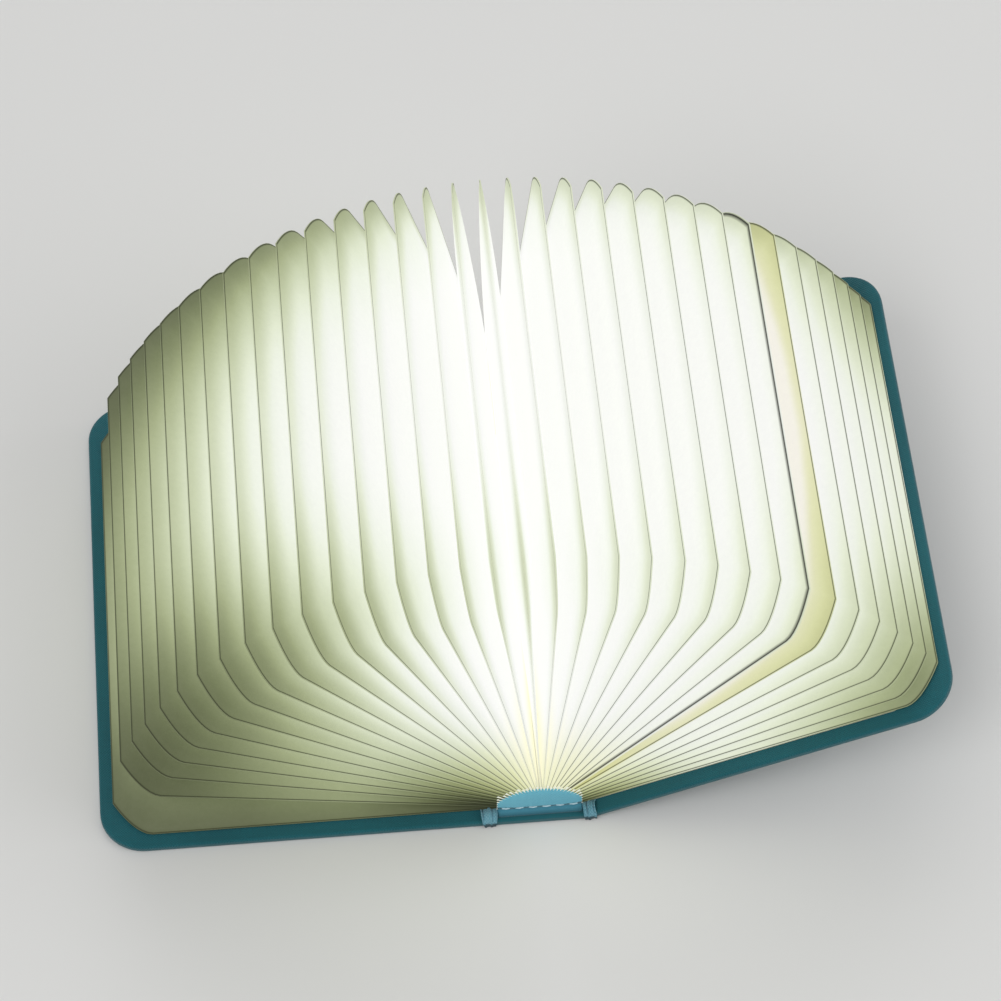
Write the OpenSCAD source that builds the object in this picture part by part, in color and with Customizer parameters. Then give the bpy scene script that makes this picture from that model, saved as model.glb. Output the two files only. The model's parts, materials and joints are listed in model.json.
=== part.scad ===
// Folding book lamp: a cloth-bound case that opens like a book, with a bellows of paper leaves as its shade
// and a rechargeable light bar in its spine.
// Millimetres. The origin is the middle of the spine's underside, +X runs from the left cover to the right
// cover, +Y from the tail end of the spine to its head end, +Z up. The left cover and the spine lie flat and
// the right cover is part raised, so the leaves fan out between them.

/* [Case] */
// Height of the covers and the spine, along the spine
case_h = 122; // [100:1:200]
// Width of one cover, from its hinge line to its fore-edge
cover_w = 86; // [72:1:150]
// Width of the spine board
spine_w = 20.7; // [20:0.1:30]
// Radius of a cover's two outer corners
cover_r = 10; // [4:0.5:16]
// Thickness of the grey board in the covers and the spine
board_t = 1.45; // [1.2:0.05:2.5]
// Thickness of the cloth that wraps the boards
cloth_t = 0.2; // [0.15:0.05:0.4]
// Thickness of the endpaper pasted inside each cover
endpaper_t = 0.2; // [0.15:0.05:0.4]
// Width of the bare groove between a hinge line and its cover board
groove_w = 1.3; // [1.2:0.1:4]
// Width of the cloth turned in over a board's edges
turn_in = 9; // [6:0.5:14]
// Angle of the left cover above flat
left_raise = 0; // [0:1:30]
// Angle of the right cover above flat
right_raise = 23.5; // [0:0.5:60]

/* [Leaves] */
// Number of leaves, with the two end leaves that lie on the covers
leaf_n = 34; // [10:1:34]
// Thickness of one leaf: two sheets bonded along their edge
leaf_t = 0.3; // [0.2:0.05:0.4]
// Strip of cover that shows beyond the leaves at the head and tail
end_square = 3; // [2:0.5:8]
// Strip of cover beyond the leaves at the fore-edge when the lamp is closed
fore_square = 0; // [0:0.5:6]
// Distance from a leaf's outer corner at which the curved corner cut begins
leaf_corner = 8.5; // [4:0.5:12]
// Radius of the curved corner cut, which meets the leaf's edges at a slight angle
leaf_corner_r = 13.5; // [12:0.5:30]
// Depth of the folded pocket that runs round a leaf inside its outline
pocket_d = 25; // [16:1:34]
// Radius of the inner corners of a leaf's cut-out
cutout_r = 4; // [2:0.5:8]
// Rise of the arch that the leaf roots stand on, from its ends to its middle
root_rise = 6; // [5:0.5:8]
// How much wider the first gap, beside the left cover, is than the others, as a share of them
fan_first = 1.55; // [0:0.05:2]
// How much narrower the last gap, beside the right cover, is than the others, as a share of them
fan_last = 0.39; // [0:0.01:0.6]
// How unevenly the leaves between them stand, as a share of a gap
fan_wave = 0.08; // [0:0.01:0.15]

/* [Light bar] */
// Height of the light tray's side walls above the spine board
tray_h = 8; // [7:0.5:12]
// Wall thickness of the tray and the diffuser
wall_t = 0.8; // [0.6:0.1:1]
// Thickness of the circuit boards
pcb_t = 0.8; // [0.6:0.1:1.2]
// Number of light chips in each of the two rows
chip_rows = 10; // [4:1:12]
// Length of one light chip
chip_l = 3.5; // [2:0.1:3.5]
// Width of one light chip
chip_w = 2.8; // [1.4:0.1:2.8]
// Thickness of the battery cell
battery_t = 4; // [3:0.1:4.5]
// Width of the charging socket
socket_w = 7.5; // [6:0.1:8]
// Height of the charging socket
socket_h = 2.6; // [2:0.1:2.8]
// Depth of the charging socket
socket_d = 5.5; // [4:0.1:7]
// Radius of the charge indicator
indicator_r = 0.8; // [0.5:0.1:1]

/* [Magnets] */
// Radius of the closing magnets in the covers
magnet_r = 5; // [3:0.5:6]
// Thickness of the magnets
magnet_t = 1; // [0.6:0.1:1.2]
// Distance of the closing magnets from a cover's edges
magnet_inset = 15; // [13:0.5:22]
// Radius of the small magnet that works the lamp's switch
switch_magnet_r = 2; // [1.5:0.5:3]

/* [Clearances] */
// Gap between a moving leaf or cover and what it passes
move_gap = 0.3; // [0.2:0.05:0.5]
// Gap round a piece that is seated in another
fit_gap = 0.05; // [0.02:0.01:0.1]

/* [Hidden] */
$fn = 48;
eps = 0.01;

function leaf_name(i) = str("leaf_", i < 10 ? "0" : "", i);

// Case: a cover is cloth, board, turned-in cloth and endpaper, one on another
board_z = cloth_t;
turn_z = board_z + board_t;
endpaper_z = turn_z + cloth_t;
case_t = endpaper_z + endpaper_t;
joint_r = 0.6;
hinge_x = spine_w / 2 + joint_r + fit_gap;
hinge_z = case_t / 2;
lip_s = 0.2;
endpaper_square = end_square + 0.4;
turned_t = turn_z + cloth_t;

// Leaves: the roots stand on an arch, and closed leaves end level inside the covers
leaf_h = case_h - 2 * end_square;
root_w = hinge_x - (case_t - hinge_z) - move_gap - leaf_t / 2;
root_z = case_t + move_gap + leaf_t / 2;
closed_top = hinge_z + cover_w - fore_square;
cutout_h = leaf_h - 2 * pocket_d;
left_angle = 180 - left_raise;
right_angle = right_raise;
first_fade = 0.5;
last_fade = 2.2;
wave_n = 2.15;
wave_start = 0.588;

function arch_z(x) = root_z + root_rise * (1 - pow(x / root_w, 2));
function arch_slope(x) = -2 * root_rise * x / pow(root_w, 2);
function share(i) = i / (leaf_n - 1);
function fan_gap(i) = 1 + fan_first * exp(-i / first_fade) - fan_last * exp(-(leaf_n - 2 - i) / last_fade)
    + fan_wave * cos(360 * (wave_n * (i + 0.5) / (leaf_n - 1) - wave_start));
function fan_to(i) = i == 0 ? 0 : fan_to(i - 1) + fan_gap(i - 1);
function leaf_x(i) = root_w * (2 * share(i) - 1);
function leaf_z(i) = arch_z(leaf_x(i));
function leaf_l(i) = closed_top - leaf_z(i);
function leaf_angle(i) = left_angle + (right_angle - left_angle) * fan_to(i) / fan_to(leaf_n - 1);

// Light bar: saddles under the leaf roots at both ends and an open tray between them
saddle_gap = move_gap + leaf_t / 2;
saddle_steps = 24;
saddle_l = pocket_d + 1;
tray_z = turn_z;
tray_l = leaf_h - 2 * saddle_l;
tray_w = 2 * (root_w - wall_t / 4);
tray_top = tray_z + tray_h;
floor_z = tray_z + wall_t;
post_r = 1.5;
post_seat = 0.2;
post_x = tray_w / 2 - wall_t - post_r + post_seat;
post_y = tray_l / 2 - 3;
screw_r = 0.75;
screw_l = 5;
screw_head_r = 1.2;
screw_head_h = 0.6;
led_z = tray_top - wall_t - pcb_t;
led_l = tray_l - 2 * fit_gap;
led_w = tray_w - 2 * wall_t - 2 * fit_gap;
chip_h = 0.7;
chip_x = 3.4;
chip_span = 2 * (post_y - chip_l - 1);
diffuser_r = tray_w / 2;
charge_w = 10;
charge_z = floor_z + fit_gap;
charge_y0 = post_y - 1.5;
charge_y1 = leaf_h / 2 - fit_gap;
charge_top = charge_z + pcb_t;
battery_w = tray_w - 2 * wall_t - 1;
battery_l = 2 * (charge_y0 - 2);
lead_r = 0.45;
indicator_x = socket_w / 2 + 2.2;
indicator_z = charge_z + indicator_r + 0.2;
indicator_y0 = leaf_h / 2 - 2.5;
sensor_size = [3, 4, 1.5];
socket_shell = 0.35;
tab_t = 0.4;
tab_y = leaf_h / 2 + fit_gap;
tab_foot = case_h / 2 - tab_y - 0.4;

// A flat sheet from s0 to s1 across and h along, with its two corners at s1 rounded
module sheet(s0, s1, h, r) {
    translate([s0, -h / 2]) square([s1 - r - s0, h]);
    translate([s0, -h / 2 + r]) square([s1 - s0, h - 2 * r]);
    for (side = [-1, 1]) translate([s1 - r, side * (h / 2 - r)]) circle(r);
}

// Outline of a leaf of length l, from its root to its fore-edge, with its two outer corners cut in a flat curve
module leaf_outline(l) {
    middle = (leaf_corner + sqrt(2 * pow(leaf_corner_r, 2) - pow(leaf_corner, 2))) / 2;
    translate([0, -leaf_h / 2]) square([l - leaf_corner, leaf_h]);
    translate([0, leaf_corner - leaf_h / 2]) square([l, leaf_h - 2 * leaf_corner]);
    for (side = [0, 1]) mirror([0, side, 0]) intersection() {
        translate([l - leaf_corner, leaf_h / 2 - leaf_corner]) square(leaf_corner);
        translate([l - middle, leaf_h / 2 - middle]) circle(leaf_corner_r);
    }
}

// A cover's own frame: x from the hinge line to the fore-edge, lying flat
module on_right() {
    translate([hinge_x, 0, hinge_z]) rotate([0, -right_raise, 0]) translate([0, 0, -hinge_z]) children();
}

module on_left() {
    mirror([1, 0, 0]) translate([hinge_x, 0, hinge_z]) rotate([0, -left_raise, 0])
        translate([0, 0, -hinge_z]) children();
}

module magnet_places() {
    for (side = [-1, 1]) translate([cover_w - magnet_inset, side * (case_h / 2 - magnet_inset)]) children();
}

module switch_magnet_place() {
    translate([groove_w + turn_in, charge_y0 + 6]) children();
}

// Board of one cover, with pockets for its magnets
module cover_board(with_switch) {
    difference() {
        translate([0, 0, board_z]) linear_extrude(board_t)
            sheet(groove_w, cover_w - cloth_t, case_h - 2 * cloth_t, cover_r - cloth_t);
        magnet_places() translate([0, 0, turn_z - magnet_t - fit_gap])
            cylinder(h = magnet_t + 1, r = magnet_r + fit_gap);
        if (with_switch) switch_magnet_place() translate([0, 0, turn_z - magnet_t - fit_gap])
            cylinder(h = magnet_t + 1, r = switch_magnet_r + fit_gap);
    }
}

// Cloth round the outside of one cover board, turned in over its head, tail and fore-edge
module cover_cloth() {
    difference() {
        linear_extrude(turned_t) sheet(lip_s, cover_w, case_h, cover_r);
        translate([0, 0, board_z]) linear_extrude(board_t)
            sheet(0, cover_w - cloth_t, case_h - 2 * cloth_t, cover_r - cloth_t);
        translate([0, 0, turn_z]) linear_extrude(1)
            sheet(0, cover_w - turn_in, case_h - 2 * turn_in, cutout_r);
        translate([0, -case_h, board_z]) cube([groove_w, 2 * case_h, case_t]);
    }
}

// Endpaper over the turned-in cloth, filled in down to the board
module endpaper() {
    translate([0, 0, turn_z]) linear_extrude(cloth_t)
        sheet(groove_w, cover_w - turn_in - fit_gap, case_h - 2 * turn_in - 2 * fit_gap, cutout_r);
    translate([0, 0, endpaper_z]) linear_extrude(endpaper_t)
        sheet(groove_w, cover_w - endpaper_square, case_h - 2 * endpaper_square, cover_r - endpaper_square);
}

module cover_magnets(with_switch) {
    magnet_places() translate([0, 0, turn_z - magnet_t]) cylinder(h = magnet_t, r = magnet_r);
    if (with_switch) switch_magnet_place() translate([0, 0, turn_z - magnet_t])
        cylinder(h = magnet_t, r = switch_magnet_r);
}

module left_cover_board() { color("tan") on_left() cover_board(false); }
module left_cover_cloth() { color("teal") on_left() cover_cloth(); }
module left_endpaper() { color("ivory") on_left() endpaper(); }
module left_magnets() { color("silver") on_left() cover_magnets(false); }
module right_cover_board() { color("tan") on_right() cover_board(true); }
module right_cover_cloth() { color("teal") on_right() cover_cloth(); }
module right_endpaper() { color("ivory") on_right() endpaper(); }
module right_magnets() { color("silver") on_right() cover_magnets(true); }

module spine_board() {
    color("tan") translate([-spine_w / 2, -case_h / 2 + cloth_t, board_z])
        cube([spine_w, case_h - 2 * cloth_t, board_t]);
}

// Cloth under the spine, up its two ends and turned in on top of the board
module spine_cloth() {
    cloth_w = 2 * (hinge_x + lip_s - move_gap);
    color("teal") {
        translate([-cloth_w / 2, -case_h / 2, 0]) cube([cloth_w, case_h, cloth_t]);
        for (side = [0, 1]) mirror([0, side, 0]) {
            translate([-spine_w / 2, case_h / 2 - cloth_t, 0]) cube([spine_w, cloth_t, turned_t]);
            translate([-spine_w / 2, tab_y, turn_z]) cube([spine_w, case_h / 2 - tab_y, cloth_t]);
        }
    }
}

// Rolled cloth along a hinge line, round so that the cover turns about it
module joint_cloth() {
    translate([hinge_x, 0, hinge_z]) rotate([90, 0, 0])
        cylinder(h = case_h - 2 * cloth_t, r = joint_r, center = true);
}

module left_joint_cloth() { color("teal") mirror([1, 0, 0]) joint_cloth(); }
module right_joint_cloth() { color("teal") joint_cloth(); }

// Outline of a saddle under the leaf roots, lowered by drop and standing on z = base
module saddle_profile(drop, base) {
    xs = [for (k = [0 : saddle_steps]) root_w * (2 * k / saddle_steps - 1)];
    top = [for (x = xs) [x, arch_z(x) - (saddle_gap + drop) * sqrt(1 + pow(arch_slope(x), 2))]];
    above = [for (p = top) if (p.y > base + eps) p];
    first = above[0];
    last = above[len(above) - 1];
    polygon(concat([[first.x, base]], above, [[last.x, base]]));
}

// Extrudes a profile drawn in the XZ plane along Y, from y0 to y1
module along_y(y0, y1) {
    translate([0, y1, 0]) rotate([90, 0, 0]) linear_extrude(y1 - y0) children();
}

// Half-moon end tab of the spine with its stitched foot
module spine_tab(holes) {
    difference() {
        union() {
            along_y(tab_y, tab_y + tab_t) saddle_profile(0, turned_t);
            translate([-root_w, tab_y, turned_t]) cube([2 * root_w, tab_foot, tab_t]);
        }
        if (holes) {
            socket_slot(tab_y - 1, tab_y + tab_t + 1, fit_gap);
            indicator_bore(tab_y - 1, tab_y + tab_t + 1, fit_gap);
        }
    }
}

module socket_slot(y0, y1, gap) {
    translate([-socket_w / 2 - gap, y0, charge_top + fit_gap - gap])
        cube([socket_w + 2 * gap, y1 - y0, socket_h + 2 * gap]);
}

module indicator_bore(y0, y1, gap) {
    translate([indicator_x, y1, indicator_z]) rotate([90, 0, 0]) cylinder(h = y1 - y0, r = indicator_r + gap);
}

module spine_tab_tail() { color("deepskyblue") mirror([0, 1, 0]) spine_tab(false); }
module spine_tab_head() { color("deepskyblue") spine_tab(true); }

// Tray with a hollow saddle at each end, side walls between them and four screw posts
module light_tray() {
    color("white") difference() {
        union() {
            for (side = [0, 1]) mirror([0, side, 0]) difference() {
                along_y(tray_l / 2, leaf_h / 2) saddle_profile(0, tray_z);
                along_y(tray_l / 2 - 1, leaf_h / 2 - wall_t) saddle_profile(wall_t, floor_z);
            }
            translate([-tray_w / 2, -tray_l / 2, tray_z]) cube([tray_w, tray_l, wall_t]);
            for (side = [-1, 1]) translate([side * (tray_w - wall_t) / 2, 0, (tray_z + tray_top) / 2])
                cube([wall_t, tray_l, tray_h], center = true);
            post_places() translate([0, 0, tray_z]) cylinder(h = led_z - tray_z, r = post_r);
        }
        post_places() translate([0, 0, led_z - screw_l]) cylinder(h = screw_l + 1, r = screw_r + fit_gap);
        socket_slot(leaf_h / 2 - wall_t - 1, leaf_h / 2 + 1, fit_gap);
        indicator_bore(indicator_y0 - fit_gap, leaf_h / 2 + 1, fit_gap);
    }
}

module post_places() {
    for (x = [-post_x, post_x], y = [-post_y, post_y]) translate([x, y]) children();
}

module led_board() {
    color("whitesmoke") difference() {
        translate([-led_w / 2, -led_l / 2, led_z]) cube([led_w, led_l, pcb_t]);
        post_places() translate([0, 0, led_z - 1]) cylinder(h = pcb_t + 2, r = screw_r + 2 * fit_gap);
    }
}

module led_chips() {
    color("lightyellow") for (x = [-chip_x, chip_x], k = [0 : chip_rows - 1])
        translate([x - chip_w / 2, chip_span * (k / (chip_rows - 1) - 0.5) - chip_l / 2, led_z + pcb_t])
            cube([chip_w, chip_l, chip_h]);
}

module led_board_screws() {
    color("silver") post_places() {
        translate([0, 0, led_z + pcb_t - screw_l]) cylinder(h = screw_l, r = screw_r);
        translate([0, 0, led_z + pcb_t]) cylinder(h = screw_head_h, r = screw_head_r);
    }
}

// Half-round milky cover over the light chips, closed at both ends
module diffuser() {
    color("white") difference() {
        along_y(-tray_l / 2, tray_l / 2) half_disc(diffuser_r);
        along_y(-tray_l / 2 + wall_t, tray_l / 2 - wall_t) half_disc(diffuser_r - wall_t);
    }
}

module half_disc(r) {
    translate([0, tray_top]) difference() {
        circle(r);
        translate([-2 * r, -4 * r]) square(4 * r);
    }
}

module battery() {
    color("lightgrey") translate([-battery_w / 2, -battery_l / 2, floor_z + fit_gap])
        cube([battery_w, battery_l, battery_t]);
}

module battery_leads() {
    color("firebrick") for (x = [-1.2, 1.2]) translate([x, battery_l / 2, charge_top + lead_r])
        rotate([-90, 0, 0]) cylinder(h = 5.5, r = lead_r);
}

module led_leads() {
    color("firebrick") for (x = [-3.4, 3.4]) translate([x, charge_y0 + 1.6, charge_top])
        cylinder(h = led_z - charge_top, r = lead_r);
}

module charge_board() {
    color("darkgreen") translate([-charge_w / 2, charge_y0, charge_z])
        cube([charge_w, charge_y1 - wall_t - charge_y0, pcb_t]);
}

// Charging socket: a steel shell open at the head end, with a contact tongue
module charge_socket() {
    mouth_y = leaf_h / 2;
    z0 = charge_top + fit_gap;
    color("silver") difference() {
        socket_slot(mouth_y - socket_d, mouth_y, 0);
        translate([-socket_w / 2 + socket_shell, mouth_y - socket_d + socket_shell, z0 + socket_shell])
            cube([socket_w - 2 * socket_shell, socket_d, socket_h - 2 * socket_shell]);
    }
    color("black") translate([-socket_w / 4, mouth_y - socket_d, z0 + socket_h / 2])
        cube([socket_w / 2, socket_d - 1, socket_shell]);
}

module charge_indicator() { color("red") indicator_bore(indicator_y0, tab_y + tab_t, 0); }

module switch_sensor() {
    color("dimgray") translate([charge_w / 2 - sensor_size.x - 0.3, charge_y0 + 6, charge_top]) cube(sensor_size);
}

// One leaf, standing on the arch: a flat C whose back is the fore-edge and whose arms reach the root
module leaf(i) {
    color("ivory") translate([leaf_x(i), 0, leaf_z(i)]) rotate([0, -leaf_angle(i), 0])
        translate([0, 0, -leaf_t / 2]) linear_extrude(leaf_t) difference() {
            leaf_outline(leaf_l(i));
            sheet(-1, leaf_l(i) - pocket_d, cutout_h, cutout_r);
        }
}

spine_board();
spine_cloth();
spine_tab_tail();
spine_tab_head();
left_joint_cloth();
right_joint_cloth();
light_tray();
led_board();
led_chips();
led_board_screws();
diffuser();
battery();
battery_leads();
led_leads();
charge_board();
charge_socket();
charge_indicator();
switch_sensor();
left_cover_board();
left_cover_cloth();
left_endpaper();
left_magnets();
right_cover_board();
right_cover_cloth();
right_endpaper();
right_magnets();
for (i = [0 : leaf_n - 1]) leaf(i);
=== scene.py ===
import json
import math

import bmesh
import bpy
from mathutils import Matrix, Vector
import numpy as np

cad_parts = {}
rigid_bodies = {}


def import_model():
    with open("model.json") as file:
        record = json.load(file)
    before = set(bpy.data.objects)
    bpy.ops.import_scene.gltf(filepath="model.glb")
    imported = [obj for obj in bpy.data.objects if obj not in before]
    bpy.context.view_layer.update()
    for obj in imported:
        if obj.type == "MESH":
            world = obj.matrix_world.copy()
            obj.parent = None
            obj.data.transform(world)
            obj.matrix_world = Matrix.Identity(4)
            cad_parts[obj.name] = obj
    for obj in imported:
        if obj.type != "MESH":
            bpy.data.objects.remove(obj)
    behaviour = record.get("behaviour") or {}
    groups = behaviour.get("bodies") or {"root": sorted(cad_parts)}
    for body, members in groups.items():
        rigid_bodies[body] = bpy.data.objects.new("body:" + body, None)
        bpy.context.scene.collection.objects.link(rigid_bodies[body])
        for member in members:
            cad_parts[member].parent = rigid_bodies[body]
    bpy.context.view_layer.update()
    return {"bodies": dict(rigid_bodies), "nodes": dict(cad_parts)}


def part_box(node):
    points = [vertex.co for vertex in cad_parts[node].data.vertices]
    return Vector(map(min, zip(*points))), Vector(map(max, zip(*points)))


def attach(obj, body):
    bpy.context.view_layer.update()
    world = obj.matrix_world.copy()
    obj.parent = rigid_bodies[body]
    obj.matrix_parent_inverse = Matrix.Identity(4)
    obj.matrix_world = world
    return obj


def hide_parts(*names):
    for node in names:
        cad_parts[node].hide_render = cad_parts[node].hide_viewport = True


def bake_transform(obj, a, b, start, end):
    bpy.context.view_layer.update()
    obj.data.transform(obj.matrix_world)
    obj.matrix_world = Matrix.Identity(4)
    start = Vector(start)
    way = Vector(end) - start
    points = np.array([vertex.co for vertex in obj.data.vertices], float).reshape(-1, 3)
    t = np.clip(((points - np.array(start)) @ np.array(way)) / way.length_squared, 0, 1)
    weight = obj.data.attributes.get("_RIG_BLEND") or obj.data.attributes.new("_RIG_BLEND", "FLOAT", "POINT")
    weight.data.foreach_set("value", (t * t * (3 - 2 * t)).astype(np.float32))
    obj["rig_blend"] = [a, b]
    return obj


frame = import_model()

MM = 0.001
# places closer than this count as the same place
NEAR = 0.01 * MM
X, Y, Z = 0, 1, 2


def extent(node, axis):
    """Size of a CAD node along an axis, to the nearest 0.01 mm."""
    lowest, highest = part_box(node)
    return round(highest[axis] - lowest[axis], 5)


# -------------------- sizes of the case, as in the CAD
HINGE_X = 11 * MM
CASE_H = extent("left_cover_cloth", Y)
COVER_W = round(-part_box("left_cover_cloth")[0][X] - HINGE_X, 5)
COVER_R = 10 * MM
COVER_ARC = 14
TURNED_T = extent("left_cover_cloth", Z)
CLOTH_T = 0.2 * MM
GROOVE_W = 1.3 * MM
TURN_IN = 9 * MM
RIGHT_RAISE = math.radians(23.5)
HINGE_Z = (TURNED_T + 0.2 * MM) / 2
JOINT_IN, JOINT_OUT = 10 * MM, 12.6 * MM
SPINE_FLAP = 2.9 * MM
ENDPAPER_T = 0.2 * MM
ENDPAPER_SQUARE = 3.4 * MM
ENDPAPER_CORNER = 10.5 * MM

# -------------------- sizes of the end tabs and their stitches
TAB_T = 0.4 * MM
TAB_FOOT = 1.6 * MM
TAB_W = 18.8 * MM
TAB_Z = TURNED_T + TAB_T
TAB_GAP = 0.45 * MM
TAB_EDGE_H, TAB_ARCH_H, TAB_ARCH_W = 1.0 * MM, 6.6 * MM, 9.9 * MM
SLOT_W, SLOT_H, SLOT_Z = 7.7 * MM, 2.7 * MM, 4.65 * MM
HOLE_R, HOLE_X, HOLE_Z = 0.86 * MM, 5.95 * MM, 3.5 * MM
SEAM_Z = TAB_Z + 1.0 * MM
SEAM_GAP = 0.86 * MM
STITCH_R = 0.16 * MM
STITCH_PITCH = 3.0 * MM
# how far each stitch leans, in degrees
STITCH_LEANS = (3, -4, 2, -2, 4, -3)

# -------------------- sizes of the leaves
LEAF_N = sum(body.startswith("leaf_") for body in frame["bodies"])
LEAF_H = extent("leaf_00", Y)
LEAF_CORNER = 8.5 * MM
SHEET_T = 0.14 * MM
POCKET_D = 25 * MM
ROOT_W = 9.525 * MM
ROOT_Z = 2.5 * MM
ROOT_RISE = 6 * MM
CLOSED_TOP = HINGE_Z + COVER_W
PATTERN_L = 80 * MM
SEAM_LEAF = 26
# where along a leaf its fold is measured, and the valley beside it
LEAF_MIDDLE = 60 * MM
VALLEY_REACH = 58 * MM
# the fan's gaps: wider beside the left cover, narrower beside the right one, and uneven in a slow wave
FIRST_GAPS, FIRST_FADE = 1.55, 0.5
LAST_GAPS, LAST_FADE = 0.39, 2.2
WAVE, WAVE_TURNS, WAVE_START = 0.08, 2.15, 0.588


def root_of(i):
    """Where leaf i stands on the arch of the spine."""
    x = ROOT_W * (2 * i / (LEAF_N - 1) - 1)
    return Vector((x, 0, ROOT_Z + ROOT_RISE * (1 - (x / ROOT_W) ** 2)))


def length_of(i):
    return CLOSED_TOP - root_of(i).z


def fan_gap(i):
    """Width of the gap after leaf i, where an even gap is 1."""
    wider = FIRST_GAPS * math.exp(-i / FIRST_FADE)
    narrower = LAST_GAPS * math.exp(-(LEAF_N - 2 - i) / LAST_FADE)
    wave = WAVE * math.cos(2 * math.pi * (WAVE_TURNS * (i + 0.5) / (LEAF_N - 1) - WAVE_START))
    return 1 + wider - narrower + wave


def fan_to(i):
    return sum(fan_gap(k) for k in range(i))


def angle_of(i):
    """Angle of leaf i above the right cover's side of the table, in radians."""
    return math.pi + (RIGHT_RAISE - math.pi) * fan_to(i) / fan_to(LEAF_N - 1)


def ray_of(i):
    """Direction of leaf i from its root."""
    return Vector((math.cos(angle_of(i)), 0, math.sin(angle_of(i))))


# -------------------- hand tools
def only(piece):
    """Selects one piece and makes it the active one."""
    bpy.ops.object.select_all(action="DESELECT")
    piece.select_set(True)
    bpy.context.view_layer.objects.active = piece


def edit(piece, kind="VERT"):
    """Opens one piece for editing with nothing selected."""
    only(piece)
    bpy.ops.object.mode_set(mode="EDIT")
    bpy.ops.mesh.select_mode(type=kind)
    bpy.ops.mesh.select_all(action="DESELECT")


def done():
    bpy.ops.object.mode_set(mode="OBJECT")


def pick(piece, kind, test):
    """In edit mode, selects the vertices, edges or faces that pass the test, and nothing else."""
    bpy.ops.mesh.select_mode(type={"verts": "VERT", "edges": "EDGE", "faces": "FACE"}[kind])
    bpy.ops.mesh.select_all(action="DESELECT")
    mesh = bmesh.from_edit_mesh(piece.data)
    for part in getattr(mesh, kind):
        if test(part):
            part.select_set(True)
    mesh.select_flush_mode()
    bmesh.update_edit_mesh(piece.data)


def pick_all():
    bpy.ops.mesh.select_all(action="SELECT")


def middle(part):
    """Middle of an edge or a face."""
    return sum((v.co for v in part.verts), Vector()) / len(part.verts)


def middle_of_picked(piece):
    """Middle of the selected vertices, in edit mode."""
    chosen = [v.co for v in bmesh.from_edit_mesh(piece.data).verts if v.select]
    return sum(chosen, Vector()) / len(chosen)


def turn(angle, axis, centre):
    """Turns what is selected by the right-hand rule. With no window the operator turns the other way."""
    bpy.ops.transform.rotate(value=-angle, orient_axis=axis, orient_type="GLOBAL", center_override=centre)


def move(x=0, y=0, z=0):
    bpy.ops.transform.translate(value=(x, y, z), orient_type="GLOBAL")


def stretch(x=1, y=1, z=1, centre=(0, 0, 0)):
    bpy.ops.transform.resize(value=(x, y, z), orient_type="GLOBAL", center_override=centre)


def round_off(kind, offset, segments, profile=0.5):
    """Rounds the selected edges or vertices."""
    bpy.ops.mesh.bevel(affect=kind, offset_type="OFFSET", offset=offset, segments=segments, profile=profile)


def begin(name, maker, **how):
    """Adds a primitive with nothing else selected and names it."""
    bpy.ops.object.select_all(action="DESELECT")
    maker(**how)
    piece = bpy.context.object
    piece.name = name
    piece.data.name = name
    return piece


def twin(piece, name):
    """A copy with its own mesh."""
    copy = piece.copy()
    copy.data = piece.data.copy()
    copy.name = name
    copy.data.name = name
    bpy.context.scene.collection.objects.link(copy)
    return copy


def finish_with(piece, kind, **settings):
    """Adds a modifier and applies it."""
    only(piece)
    modifier = piece.modifiers.new(kind.title(), kind)
    for key, value in settings.items():
        setattr(modifier, key, value)
    bpy.ops.object.modifier_apply(modifier=modifier.name)


def ease_edges(piece, width, segments):
    """Rounds all sharp edges of a finished shape."""
    finish_with(piece, "BEVEL", width=width, segments=segments, limit_method="ANGLE",
                angle_limit=math.radians(60))


def place(piece, matrix):
    """Puts the piece in its place, with the place in its mesh."""
    piece.matrix_world = matrix
    only(piece)
    bpy.ops.object.transform_apply(location=True, rotation=True, scale=True)


def join(pieces, name):
    bpy.ops.object.select_all(action="DESELECT")
    for piece in pieces:
        piece.select_set(True)
    bpy.context.view_layer.objects.active = pieces[0]
    bpy.ops.object.join()
    pieces[0].name = name
    pieces[0].data.name = name
    return pieces[0]


def smooth(piece, degrees=35):
    only(piece)
    bpy.ops.object.shade_smooth_by_angle(angle=math.radians(degrees))


def outward(piece):
    """Closes a piece's seams and turns all its faces outwards."""
    edit(piece, "FACE")
    pick_all()
    bpy.ops.mesh.remove_doubles(threshold=1e-6)
    bpy.ops.mesh.normals_make_consistent(inside=False)
    done()


def look_towards(piece, way, test=lambda face: True):
    """In edit mode, turns all faces alike, so that those that pass the test look the way given."""
    pick_all()
    bpy.ops.mesh.normals_make_consistent(inside=False)
    faces = bmesh.from_edit_mesh(piece.data).faces
    if sum(face.normal.dot(Vector(way)) * face.calc_area() for face in faces if test(face)) < 0:
        bpy.ops.mesh.flip_normals()


def wear(piece, material):
    """Gives the piece its material, in place of any that it has."""
    piece.data.materials.clear()
    piece.data.materials.append(material)


# -------------------- camera, floor and light
AIM = Vector((-2.41, 12.66, 20)) * MM
CAMERA_AWAY = 0.83787
CAMERA_HIGH, CAMERA_ROUND, CAMERA_ROLL = math.radians(54.8), math.radians(-5.56), math.radians(0.534)
PICTURE_W, FOCAL_PIXELS = 1001, 3666.25
SENSOR_W = 36
# each light's name, place, size and power
LIGHTS = (("key", (-0.5, -0.7, 1.1), 0.7, 6.2),
          ("fill", (0.9, -0.2, 0.7), 0.8, 2.8),
          ("back", (0.1, 0.9, 0.8), 0.8, 2.8))


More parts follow.
